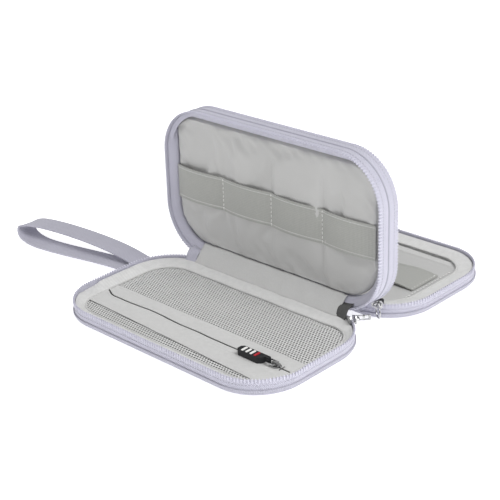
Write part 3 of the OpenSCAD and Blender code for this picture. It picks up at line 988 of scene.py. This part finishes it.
def pad_u(s):
    """The pad's edge, as a distance from the corner's centre, at outline length s."""
    x, y, nx, ny = station(s)
    if ny >= 0:
        return PAD_R
    cut = ((PAD_X - abs(x)) / CUT_X + (PAD_Y - abs(y)) / CUT_Y - 1) / (abs(nx) / CUT_X + abs(ny) / CUT_Y)
    return min(PAD_R / max(abs(nx), 0.001), PAD_R / max(abs(ny), 0.001), cut)


CLOTH_FRAMES = 24
CLOTH = {
    "quality": 8, "mass": 0.25, "tension_stiffness": 12, "compression_stiffness": 12, "shear_stiffness": 4,
    "bending_stiffness": 0.35, "vertex_group_mass": "held", "shrink_min": -0.03, "use_pressure": True,
}


def settle(piece, held, pressure, cap):
    """Puffs the cloth with Blender's cloth simulation, and lets no point move further than cap mm."""
    start = [v.co.copy() for v in piece.data.vertices]
    group = piece.vertex_groups.new(name="held")
    group.add(held, 1.0, "REPLACE")
    cloth = piece.modifiers.new("cloth", "CLOTH")
    for key, value in CLOTH.items():
        setattr(cloth.settings, key, value)
    cloth.settings.uniform_pressure_force = pressure
    cloth.settings.effector_weights.gravity = 0
    cloth.point_cache.frame_end = CLOTH_FRAMES
    scene = bpy.context.scene
    for step in range(CLOTH_FRAMES):
        scene.frame_set(step + 1)
    shown = piece.evaluated_get(bpy.context.evaluated_depsgraph_get())
    moved = [v.co.copy() for v in shown.data.vertices]
    piece.modifiers.remove(cloth)
    piece.vertex_groups.remove(group)
    scene.frame_set(1)
    for vertex, before, after in zip(piece.data.vertices, start, moved):
        shift = after - before
        if shift.length > cap * MM:
            shift *= cap * MM / shift.length
        vertex.co = before + shift
    piece.data.update()


def divider_pad(name, place, rows_of_stitches, *nodes):
    """Satin over foam, with puckers at its edge and along the stitch rows."""
    def height(x, y):
        inset = pad_inset(x, y)
        edge = smooth(inset / 1.6)
        pucker = 0.26 * math.sin((x - y) / 1.7 + 2 * ripple(x, y, 9)) * math.exp(-inset / 5)
        swell = 0.5 * smooth(inset / 24) + 0.45 * ripple(x, y, 30, 9)
        beyond = max(0.0, abs(HINGE_Y - ELASTIC_V - y) - ELASTIC_W / 2)
        tuck = sum(0.9 * math.exp(-((x - row) / 2.6) ** 2) for row in rows_of_stitches)
        tuck *= math.exp(-beyond / 13)
        pull = 0.3 * math.sin(x / 2.4 + 3 * ripple(x, y, 18, 2)) if rows_of_stitches else 0.0
        pull *= math.exp(-beyond / 7) * smooth(inset / 4)
        return -PAD_SIDE + (PAD_SIDE - PAD_FACE) * edge + edge * (pucker + swell + pull - tuck)
    xs = edged(-PAD_X, -ARC_X, 9)[:-1] + edged(-ARC_X, ARC_X, 54)[:-1] + edged(ARC_X, PAD_X, 9)
    rows = [v / (2 * PAD_Y) for v in edged(0, 2 * PAD_Y, 34)]
    bottom = panel_edge(PAD_R)
    made = build(name, *panel(xs, pad_top, bottom, rows, height), place)
    local = [(x, pad_top(x) + (bottom(x) - pad_top(x)) * v) for x in xs for v in rows]

    def is_held(x, y):
        sewn = any(abs(x - row) < 1.6 for row in rows_of_stitches)
        return pad_inset(x, y) < 2.2 or (sewn and ELASTIC_LOW < y < ELASTIC_HIGH)
    settle(made, [i for i, (x, y) in enumerate(local) if is_held(x, y)], 0.6, 1.0)
    dress(thicken(made, 0.6), "satin", "divider", *nodes)


def gusset(side, place):
    """The sloping side between a rim's tape and the pad, with a groove at the pad's edge."""
    def profile(s):
        inner = pad_u(s)
        wave = 0.18 * ripple(s, 1, 9)
        return [
            (TAPE_IN - 0.05, -DIVIDER_T / 2 + 0.7), (TAPE_IN - 0.05, -3.2), (TAPE_IN - 0.5, -3.0),
            (TAPE_IN - 1.1, -3.3), (TAPE_IN - 3, -4.6 + wave), (inner + 1.5, -6.2 + wave),
            (inner + 0.9, -6.8), (inner + 0.75, -7.6), (inner + 0.8, -DIVIDER_T / 2 + 0.7),
        ]
    made = build("divider_" + side + "_gusset", *sweep(profile, None, 1.6), place, sharp=50)
    dress(made, "zip_tape", "divider", "divider_gusset_" + side)


def elastic_depth(x):
    """How far the band stands off the pad, between its rows of stitches."""
    stops = (-PAD_X,) + STITCH_X + (PAD_X,)
    for a, b in zip(stops, stops[1:]):
        if a <= x <= b:
            t = (x - a) / (b - a)
            return 2.9 * math.sin(math.pi * t ** 0.85) ** 0.8
    return 0.0


def elastic_band():
    low, high = ELASTIC_LOW, ELASTIC_HIGH
    rows = [0, 0.03, 0.06, 0.075, 0.09, 0.12] + spread(0.2, 0.8, 0.1) + [0.88, 0.91, 0.925, 0.94, 0.97, 1]

    def height(x, y):
        across = min(y - low, high - y)
        hem = 0.22 * (1 - smooth((across - 1.1) / 0.5))
        base = -PAD_FACE + 0.6
        return base + elastic_depth(x) * (0.85 + 0.15 * smooth(across / 6)) + hem
    xs = []
    stops = (-PAD_X + 0.3,) + STITCH_X + (PAD_X - 0.3,)
    for a, b in zip(stops, stops[1:]):
        xs += edged(a, b, 12, (0, 0.4, 0.9, 1.7, 3))[:-1]
    xs.append(stops[-1])
    made = build("divider_elastic", *panel(xs, lambda x: low, lambda x: high, rows, height), in_divider)
    dress(thicken(made, 0.7), "elastic", "divider", "elastic_band")
    hems = []
    for y in (low + 1.7, high - 1.7):
        hems.append(tube([(x, y, height(x, y) + 0.32) for x in xs[1:-1]], 0.2, 6))
    dress(build("divider_elastic_hems", *joined(hems), in_divider), "smooth_lining", "divider")


def elastic_stitches():
    spots = []
    for x in STITCH_X:
        for k in range(8):
            y = ELASTIC_LOW + 0.6 + 2.75 * k
            lean = 0.25 * (-1) ** k
            spots.append(((x + lean, y, -PAD_FACE + 1.15), (x - lean, y + 1.9, -PAD_FACE + 1.15)))
    dashes("divider_elastic_stitches", spots, in_divider, "divider", 0.34, nodes=("elastic_stitches",))


def divider_seam():
    """Rolled seam half way between the rims."""
    def profile(s):
        out = R + 0.05 + 0.08 * ripple(s, 5, 12)
        middle = -DIVIDER_T / 2
        return [
            (TAPE_IN, middle - 0.55), (TAPE_IN, middle + 0.55),
            (TAPE_OUT + 0.1, middle + 0.5), (out, middle + 0.3),
            (out - 0.25, middle), (out, middle - 0.3), (TAPE_OUT + 0.1, middle - 0.5),
        ]
    made = build("divider_rolled_seam", *sweep(profile), in_divider)
    dress(made, "cover_fabric", "divider", "divider_seam")


def spine():
    """Outer fabric on the divider's hinge side."""
    xs = spread(-HINGE_HALF, HINGE_HALF, 3)
    deep = [0.5, 0.9, 1.6, 3, 5, 7, 8.3, 8.8, 9, 9.2, 9.7, 11, 13, 15, 16.4, 17.1, 17.5]
    rows = []
    for x in xs:
        row = []
        for w in deep:
            roll = 0.35 * smooth((w - 0.5) / 1.2) * smooth((17.5 - w) / 1.2)
            seam = 0.4 * math.exp(-((w - DIVIDER_T / 2) / 0.3) ** 2)
            row.append((x, CASE_W / 2 - 0.45 + roll - seam + 0.05 * ripple(x, w, 9), -w))
        rows.append(row)
    made = build("divider_spine", *skin(rows, xs, deep), in_divider)
    dress(thicken(made, 0.7), "cover_fabric", "divider", "spine_panel")


def hinge_sheet(name, path, left, right, slot, bodies, ends, *nodes):
    """A strip of fabric across a hinge. path(x) gives its points in the part's frame."""
    xs = spread(left, right, 1.5)
    rows = [path(x) for x in xs]
    made = build(name, *skin(rows, xs, lengths(rows[len(rows) // 2])))
    dress(thicken(made, 0.5), slot, None, *nodes)
    [[value * MM for value in p] for p in ends]
    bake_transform(made)
    return made


def corner_drop(x):
    """How far the outline has turned away from the hinge line at x."""
    over = max(0.0, abs(x) - ARC_X)
    return R - math.sqrt(R * R - over * over)


# Across a hinge on the inside, from one panel to the other: distance out from the hinge line, height above it
FLAP = ((4.2, -3.5), (2.9, -2.1), (1.7, -0.4), (0.2, 1.3), (-1.4, 2.5),
        (-3.0, 3.6), (-4.7, 5.3), (-6.0, 6.5), (-7.3, 7.0))
WEB = ((3.6, -3.4), (2.8, -2.2), (2.2, -0.6), (1.6, 0.9), (0.6, 2.1), (-1.6, 2.6), (-4.4, 2.9))
OUTSIDE = ((-0.1, -2.2), (-0.2, -1.2), (-0.35, -0.75), (-0.6, -0.55), (-0.95, -0.5), (-2.0, -0.4))


def hinge_flaps(side, y0, z0, toward, bodies, nodes):
    """Lining inside, a web at each end of it, and cover fabric outside; the right-hand web is painted shade.
    """
    shell, away = (0, y0 + toward * 1.4, z0 - 1.2), (0, y0 - toward * 1.4, z0 + 1.2)
    ends = (shell, away) if bodies[0] == side + "_shell" else (away, shell)

    def lining(x):
        out = []
        for k, (deep, up) in enumerate(FLAP):
            fold = 0.5 * math.exp(-((x - 47 - 1.6 * k) / 1.3) ** 2) * (k > 1)
            wave = 0.22 * ripple(x, k, 9) * (0 < k < 8)
            out.append((x, y0 + toward * (deep + wave), z0 + up + wave - fold))
        return out

    def web(x):
        d = corner_drop(x)
        out = []
        for k, (deep, up) in enumerate(WEB):
            share = k / (len(WEB) - 1)
            out.append((x, y0 + toward * (deep + d * (1 - share)), z0 + up + d * share))
        return out

    def outside(x):
        return [(x, y0 + toward * deep, z0 + up) for deep, up in OUTSIDE]
    made = hinge_sheet(side + "_hinge_lining", lining, -61, 61, "smooth_lining", bodies, ends, *nodes)
    hinge_sheet(side + "_hinge_cover", outside, -HINGE_HALF, HINGE_HALF, "cover_fabric", bodies, ends)
    inner, outer = 60.4, 68.6
    # The back shell's slider is parked nearer to the hinge
    right = outer if side == "front" else 65.8
    hinge_sheet(side + "_hinge_web_left", web, -outer, -inner, "zip_tape", bodies, ends)
    # Painted shade: the right-hand web is dark grey for the shade in the corner at that end of the hinge.
    hinge_sheet(side + "_hinge_web_right", web, inner, right, "dark_lining", bodies, ends)


def hinges():
    hinge_flaps("front", HINGE_Y, RIM_Z, -1, ("front_shell", "divider"),
                ("front_shell_hinge_strip", "divider_hinge_strip_front"))
    hinge_flaps("back", BACK_HINGE_Y, BACK_RIM_Z, 1, ("divider", "back_shell"),
                ("divider_hinge_strip_back", "back_shell_hinge_strip"))


# ---- Back shell's pockets. y is measured from the hinge ----

SLIP_MOUTH, SATIN_MOUTH, BACK_BAND = 84.3, 78.5, (36, 62)


def back_pockets():
    body = "back_shell"

    def from_hinge(v):
        return CASE_W / 2 - v

    def pocket(name, mouth, base, slot, u, node, mouth_lift):
        half = panel_edge(u)
        xs = panel_stops(u, 0.1, 0.8, 2.5)

        def low(x):
            return max(from_hinge(mouth), -half(x))
        rows = [0, 0.008, 0.016, 0.024, 0.035] + spread(0.06, 1, 0.047)

        def height(x, y):
            in_from_mouth = y - low(x)
            hem = 0.35 * (1 - smooth((in_from_mouth - 1.3) / 0.4))
            lift = mouth_lift * (1 - smooth(in_from_mouth / 14)) * (1 - 0.6 * (x / 78) ** 2)
            return base + hem + lift + 0.22 * ripple(x, y, 24, base) + 0.06 * ripple(x, y, 7, base)
        made = build(name, *panel(xs, low, half, rows, height), in_back)
        dress(thicken(made, 0.45), slot, body, node)
        return made
    rear = pocket("back_slip_pocket", SLIP_MOUTH, FLOOR_Z + 1.15, "smooth_lining", LIP_U + 1.2,
                  "rear_slip_pocket", 1.1)
    front = pocket("back_satin_pocket", SATIN_MOUTH, FLOOR_Z + 2.0, "satin", LIP_U + 0.6,
                   "satin_pocket", 0.7)

    x_end, loop_w = 70.5, 39
    band_rows = [0, 0.04, 0.06, 0.08] + spread(0.15, 0.85, 0.1) + [0.92, 0.94, 0.96, 1]
    low, high = from_hinge(BACK_BAND[1]), from_hinge(BACK_BAND[0])

    def band_height(x, y):
        across = min(y - low, high - y)
        hem = 0.3 * (1 - smooth((across - 1.0) / 0.4))
        ends = smooth((ARC_X + LIP_U - abs(x)) / 5)
        return FLOOR_Z + 2.6 + hem + 1.3 * math.sin(math.pi * (x + 78) / 39) ** 2 * ends
    xs = spread(-ARC_X - LIP_U + 0.5, x_end + 1.5, 2)
    band = build("back_elastic", *panel(xs, lambda x: low, lambda x: high, band_rows, band_height), in_back)
    dress(thicken(band, 0.8), "elastic", body, "back_elastic_band")
    spots = []
    for x in (x_end - loop_w * k for k in range(4)):
        for k in range(9):
            y = low + 0.8 + 2.8 * k
            z = band_height(x, y) + 0.15
            spots.append(((x, y, z), (x, y + 1.9, z)))
    dashes("back_elastic_stitches", spots, in_back, body, 0.32, nodes=("back_elastic_stitches",))
    # Stitched seam along the right-hand border of the pockets
    seam = [((74.6, y, FLOOR_Z + 3.0), (74.6, y + 1.7, FLOOR_Z + 3.0)) for y in spread(-22, 24, 2.8)]
    dashes("back_pocket_seam", seam, in_back, body, 0.28)


# ---- Wrist strap ----

STRAP_W, STRAP_T = 15, 1.3
# The strap's middle line, from its upper end at the case round the loop to its lower end
STRAP_LINE = (
    (-91.8, 26.5, 6.6), (-98, 26.5, 7.6), (-108, 26.5, 8.9), (-120, 26.4, 9.8),
    (-134, 26, 10.3), (-148, 25.2, 10.6), (-162, 24, 10.8), (-176, 22.2, 10.9),
    (-188, 20, 10.8), (-196, 18.2, 10.2), (-201.5, 16.8, 8.6), (-203.5, 15.8, 6.2),
    (-202.5, 14.8, 3.7), (-199, 13.6, 1.9), (-192, 12.2, 1.1), (-182, 11.4, 1),
    (-170, 12.4, 1), (-156, 14.6, 1.1), (-142, 16.8, 1.5), (-128, 18.2, 2.4),
    (-114, 18.8, 3.5), (-102, 19, 4.4), (-91.8, 19, 4.9),
)


def curve_through(points, steps):
    """A smooth curve through the points, with steps parts between each two."""
    knots = [Vector(p) for p in points]
    knots = [2 * knots[0] - knots[1]] + knots + [2 * knots[-1] - knots[-2]]
    out = []
    for a, b, c, d in zip(knots, knots[1:], knots[2:], knots[3:]):
        for k in range(steps):
            t = k / steps
            square, cube = 2 * a - 5 * b + 4 * c - d, 3 * b - a - 3 * c + d
            out.append(0.5 * (2 * b + (c - a) * t + square * t * t + cube * t ** 3))
    out.append(knots[-2])
    return out


def wrist_strap():
    line = curve_through(STRAP_LINE, 5)
    half_w, half_t = STRAP_W / 2, STRAP_T / 2
    # From the strap's middle to its edge: where it is, and its thickness there.
    # The edge is folded, with a stitch line inside.
    half = [(0, 0.84), (0.4, 0.86), (0.74, 0.9), (0.8, 0.82), (0.88, 1.0), (0.97, 0.95), (1, 0.55)]
    across = [(-a, t) for a, t in half[:0:-1]] + half
    rows = []
    for i, p in enumerate(line):
        tangent = (line[min(i + 1, len(line) - 1)] - line[max(i - 1, 0)]).normalized()
        side = Vector((-tangent.y * tangent.x, 1 - tangent.y ** 2, -tangent.y * tangent.z)).normalized()
        normal = tangent.cross(side)
        row = [p + side * half_w * a + normal * half_t * t for a, t in across]
        row += [p + side * half_w * a - normal * half_t * t for a, t in reversed(across)]
        rows.append([tuple(q) for q in row])
    us = lengths([tuple(p) for p in line])
    vs = lengths(rows[0] + rows[0][:1])
    made = build("wrist_strap_ribbon", *skin(rows, us, vs, ring=True, caps=True), sharp=50)
    dress(made, "cover_fabric", None, "wrist_strap")
    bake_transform(made)
    box_plate("strap_seam_tab", "strap_root", "cover_fabric", 0.5)


# ---- Outer zip sliders ----

def slider_place(place, rim, parked):
    """Own axes at the parked slider: x the way it closes, y out of the case, z up from the rim."""
    c, s = math.cos(math.radians(parked)), math.sin(math.radians(parked))

    def moved(p):
        out, along = R + p[1], p[0]
        return place((ARC_X + out * c + along * s, ARC_Y + out * s - along * c, rim + p[2]))
    return moved


def upright(p):
    return (p[0], p[2], p[1])


def outer_slider(side, hole_y, at):
    """Two plates joined by a post, with a bridge that the pull hangs in."""
    node = side + "_zip_slider"
    plate = [(-3.4, -1.5), (-3.4, 0.8), (1, 2.5), (2.6, 2.5),
             (3.4, 1.8), (3.4, -1.8), (2.6, -2.5), (-0.8, -2.5)]
    bridge = [(-2.2, 1.7, 0), (-1.9, hole_y + 0.3, 0), (-1.0, hole_y + 0.95, 0), (1.0, hole_y + 0.95, 0),
              (1.9, hole_y + 0.3, 0), (2.2, 1.7, 0)]
    parts = [
        prism(plate, 1.0, 1.7, upright),
        prism(plate, -2.4, -1.7, upright),
        prism(rectangle(2.0, -1.5, 3.2, -0.8), -1.9, 1.2, upright),
        tube(bridge, 0.5, 8),
    ]
    dress(build(side + "_slider_body", *joined(parts), at), "metal", node, node)


def sliders():
    front_parked, back_parked, pull_lean = 60, 64, math.radians(78)
    front_hole, back_hole = 2.9, 3.2
    at = slider_place(in_front, RIM_Z, front_parked)
    outer_slider("front", front_hole, at)
    c, s = math.cos(pull_lean), math.sin(pull_lean)

    def pull_at(p):
        return at((p[0] * c - p[2] * s, front_hole + p[0] * s + p[2] * c, p[1]))
    half = 1.7
    shapes = (
        rounded(3.2, -half, 4.8, half, 0.4), rounded(6.6, -half, 8.2, half, 0.7),
        rectangle(-0.4, -half, 7, -half + 0.7), rectangle(-0.4, half - 0.7, 7, half),
    )
    bar = [prism(shape, -0.4, 0.4) for shape in shapes]
    bar.append(tube([(0, -half + 0.2, 0), (0, 0, 0), (0, half - 0.2, 0)], 0.42, 8))
    dress(build("front_pull_bar", *joined(bar), pull_at), "metal", "front_zip_pull", "front_zip_pull")
    at = slider_place(in_back, BACK_RIM_Z, back_parked)
    outer_slider("back", back_hole, at)
    ring_r, tilt, turn = 4.1, math.radians(35), math.radians(-30)
    path = []
    for a in turns(32):
        out, up = ring_r * (math.cos(tilt) + math.cos(a)), ring_r * (math.sin(a) - math.sin(tilt))
        path.append((-out * math.sin(turn), back_hole + out * math.cos(turn), up))
    ring = build("back_pull_ring", *tube(path, 0.45, 8, closed=True), at)
    dress(ring, "metal", "back_zip_pull", "back_zip_pull")


def end_stops():
    """Small metal clamps at the far end of each outer zip."""
    length = 1.6
    start = PERIMETER - ARC_X - R * math.radians(9.8)
    for side, place, rim in (("front", in_front, RIM_Z), ("back", in_back, BACK_RIM_Z)):
        profile = [(TAPE_OUT - 0.1, rim - 3.4), (TAPE_OUT + 0.45, rim - 3.3), (TAPE_OUT + 0.6, rim - 3.0),
                   (TAPE_OUT + 0.6, rim - 1.4), (TAPE_OUT + 0.45, rim - 1.1), (TAPE_OUT - 0.1, rim - 1.0)]
        made = build(side + "_end_stop", *sweep(lambda s: profile, (start, start + length), 0.4), place)
        dress(made, "metal", side + "_shell", side + "_zip_end_stop")


# ---- The whole pouch ----

zip_rims()
shell_cover("front_shell", in_front, RIM_Z)
shell_cover("back_shell", in_back, BACK_RIM_Z)
side_band("front_shell", in_front, RIM_Z, front_lip)
side_band("back_shell", in_back, BACK_RIM_Z, back_lip)
band_piping("front_shell", in_front, front_lip, POCKET_Z + 0.45)
band_piping("back_shell", in_back, back_lip, POCKET_Z + 0.35)
# Painted shade: the front shell's floor is dark grey for the shade under the mesh pocket, not a darker
# lining.
shell_floor("front_shell", in_front, "dark_lining")
shell_floor("back_shell", in_back, "smooth_lining")
mesh_pocket()
pocket_coils()
box_plate("pocket_stop_left", "pocket_zip_stop_left", "metal", 0.25)
box_plate("pocket_stop_right", "pocket_zip_stop_right", "metal", 0.25)
pocket_pull()
divider_pad("divider_front_pad", in_divider, STITCH_X, "divider_front_panel", "divider_board")
divider_pad("divider_back_pad", in_divider_back, (), "divider_back_panel")
gusset("front", in_divider)
gusset("back", in_divider_back)
elastic_band()
elastic_stitches()
divider_seam()
spine()
hinges()
back_pockets()
wrist_strap()
sliders()
end_stops()
